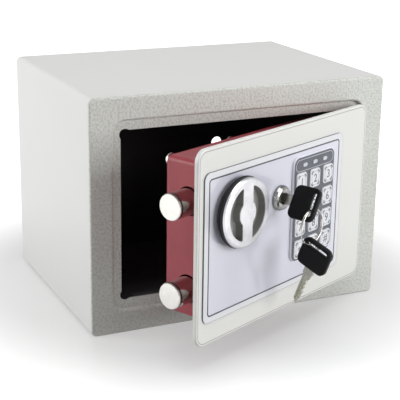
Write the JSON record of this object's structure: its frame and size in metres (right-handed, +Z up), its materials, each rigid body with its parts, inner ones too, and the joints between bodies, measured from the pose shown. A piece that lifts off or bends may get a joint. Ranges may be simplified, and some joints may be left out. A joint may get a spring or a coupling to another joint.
{
  "type": "electronic furniture safe",
  "caption": "Small sheet-steel safe with a flush hinged door ajar, round knob, keypad, thrown round bolts, and a key lock with a spare key on a ring.",
  "frame": {"origin": "centre of the cabinet's base, on the surface it stands on", "axes": "+X to the right seen from the front, +Y from the door back into the safe, +Z up"},
  "size_m": [0.23, 0.2593, 0.17],
  "materials": {
    "cabinet_paint": "off-white powder coat with a fine orange peel",
    "interior_paint": "black paint",
    "felt": "black felt",
    "zinc": "bright zinc plate",
    "door_paint": "smooth off-white paint",
    "housing_paint": "satin raspberry paint",
    "fascia_film": "glossy lilac silver film with printed lines",
    "slate_plastic": "slate printed panel",
    "button_plastic": "white keys with printed characters",
    "lens": "milky lens",
    "board": "green circuit board",
    "black_plastic": "black moulded plastic",
    "red_plastic": "red moulded plastic",
    "chrome": "polished chrome",
    "satin_silver": "satin silver plated plastic",
    "nickel": "nickel plate",
    "brass": "turned brass",
    "cell": "plain cell wrapper"
  },
  "bodies": {
    "cabinet": {"cabinet_shell": "cabinet_paint", "front_frame": "cabinet_paint", "back_panel": "cabinet_paint", "floor_mat": "felt", "lower_hinge_bracket": "interior_paint", "upper_hinge_bracket": "interior_paint", "hinge_pins": "zinc"},
    "door": {"door_plate": "door_paint", "lock_housing": "housing_paint", "mechanism_cover": "housing_paint", "cover_screws": "zinc", "battery_tray": "black_plastic", "batteries": "cell", "battery_contacts": "nickel", "battery_cover": "black_plastic", "fascia": "fascia_film", "keypad_bezel": "slate_plastic", "indicator_lenses": "lens", "keypad_board": "board", "control_board": "board", "board_posts": "black_plastic", "solenoid": "zinc", "bolt_guide": "zinc", "lock_barrel": "chrome", "lock_nut": "chrome", "knob_bushing": "brass", "lower_hinge_arm": "zinc", "upper_hinge_arm": "zinc"},
    "knob": {"knob_cap": "satin_silver", "knob_collar": "black_plastic", "knob_shaft": "zinc", "bolt_crank": "zinc"},
    "bolt_work": {"bolt_bar": "zinc", "upper_bolt": "chrome", "lower_bolt": "chrome"},
    "plunger": {"solenoid_plunger": "zinc", "plunger_spring": "nickel"},
    "lock": {"lock_plug": "chrome", "lock_cam": "zinc", "key_bow": "black_plastic", "key_blade": "nickel"},
    "ring": {"key_ring": "nickel"},
    "spare_key": {"spare_key_bow": "black_plastic", "spare_key_blade": "nickel"},
    "reset": {"reset_button": "red_plastic"},
    "button_1": {"key_1": "button_plastic"},
    "button_2": {"key_2": "button_plastic"},
    "button_3": {"key_3": "button_plastic"},
    "button_4": {"key_4": "button_plastic"},
    "button_5": {"key_5": "button_plastic"},
    "button_6": {"key_6": "button_plastic"},
    "button_7": {"key_7": "button_plastic"},
    "button_8": {"key_8": "button_plastic"},
    "button_9": {"key_9": "button_plastic"},
    "button_star": {"key_star": "button_plastic"},
    "button_0": {"key_0": "button_plastic"},
    "button_hash": {"key_hash": "button_plastic"}
  },
  "joints": [
    {"name": "door_hinge", "type": "hinge", "parent": "cabinet", "child": "door", "pos_m": [0.1045, -0.077, 0.085], "axis": [0, 0, 1], "range_deg": [-25.1, 69.9]},
    {"name": "knob_turn", "type": "hinge", "parent": "door", "child": "knob", "pos_m": [-0.03714, -0.15771, 0.1045], "axis": [-0.4242, 0.9056, 0], "range_deg": [0, 90]},
    {"name": "bolt_throw", "type": "slide", "parent": "door", "child": "bolt_work", "axis": [0.9056, 0.4242, 0], "range_m": [0, 0.018]},
    {"name": "plunger_drop", "type": "slide", "parent": "door", "child": "plunger", "axis": [0, 0, -1], "range_m": [0, 0.0055], "stiffness_N_per_m": 40, "springref_m": 0.009, "deforming": ["plunger_spring"]},
    {"name": "lock_turn", "type": "hinge", "parent": "door", "child": "lock", "pos_m": [0.00497, -0.13798, 0.103], "axis": [-0.4242, 0.9056, 0], "range_deg": [-30, 60]},
    {"name": "ring_swing", "type": "hinge", "parent": "lock", "child": "ring", "pos_m": [0.01297, -0.1593, 0.09988], "axis": [-0.9056, -0.4242, 0], "range_deg": [-8, 25]},
    {"name": "spare_key_swing", "type": "hinge", "parent": "ring", "child": "spare_key", "pos_m": [0.01486, -0.15842, 0.07606], "axis": [-0.9056, -0.4242, 0], "range_deg": [-8, 25]},
    {"name": "reset_press", "type": "slide", "parent": "door", "child": "reset", "axis": [0.4242, -0.9056, 0], "range_m": [0, 0.001], "stiffness_N_per_m": 300},
    {"name": "button_1_press", "type": "slide", "parent": "door", "child": "button_1", "axis": [-0.4242, 0.9056, 0], "range_m": [0, 0.0007], "stiffness_N_per_m": 400},
    {"name": "button_2_press", "type": "slide", "parent": "door", "child": "button_2", "axis": [-0.4242, 0.9056, 0], "range_m": [0, 0.0007], "stiffness_N_per_m": 400},
    {"name": "button_3_press", "type": "slide", "parent": "door", "child": "button_3", "axis": [-0.4242, 0.9056, 0], "range_m": [0, 0.0007], "stiffness_N_per_m": 400},
    {"name": "button_4_press", "type": "slide", "parent": "door", "child": "button_4", "axis": [-0.4242, 0.9056, 0], "range_m": [0, 0.0007], "stiffness_N_per_m": 400},
    {"name": "button_5_press", "type": "slide", "parent": "door", "child": "button_5", "axis": [-0.4242, 0.9056, 0], "range_m": [0, 0.0007], "stiffness_N_per_m": 400},
    {"name": "button_6_press", "type": "slide", "parent": "door", "child": "button_6", "axis": [-0.4242, 0.9056, 0], "range_m": [0, 0.0007], "stiffness_N_per_m": 400},
    {"name": "button_7_press", "type": "slide", "parent": "door", "child": "button_7", "axis": [-0.4242, 0.9056, 0], "range_m": [0, 0.0007], "stiffness_N_per_m": 400},
    {"name": "button_8_press", "type": "slide", "parent": "door", "child": "button_8", "axis": [-0.4242, 0.9056, 0], "range_m": [0, 0.0007], "stiffness_N_per_m": 400},
    {"name": "button_9_press", "type": "slide", "parent": "door", "child": "button_9", "axis": [-0.4242, 0.9056, 0], "range_m": [0, 0.0007], "stiffness_N_per_m": 400},
    {"name": "button_star_press", "type": "slide", "parent": "door", "child": "button_star", "axis": [-0.4242, 0.9056, 0], "range_m": [0, 0.0007], "stiffness_N_per_m": 400},
    {"name": "button_0_press", "type": "slide", "parent": "door", "child": "button_0", "axis": [-0.4242, 0.9056, 0], "range_m": [0, 0.0007], "stiffness_N_per_m": 400},
    {"name": "button_hash_press", "type": "slide", "parent": "door", "child": "button_hash", "axis": [-0.4242, 0.9056, 0], "range_m": [0, 0.0007], "stiffness_N_per_m": 400}
  ],
  "couplings": [
    {"joint": "knob_turn", "follows": "bolt_throw", "rad_per_m": 87.266}
  ]
}
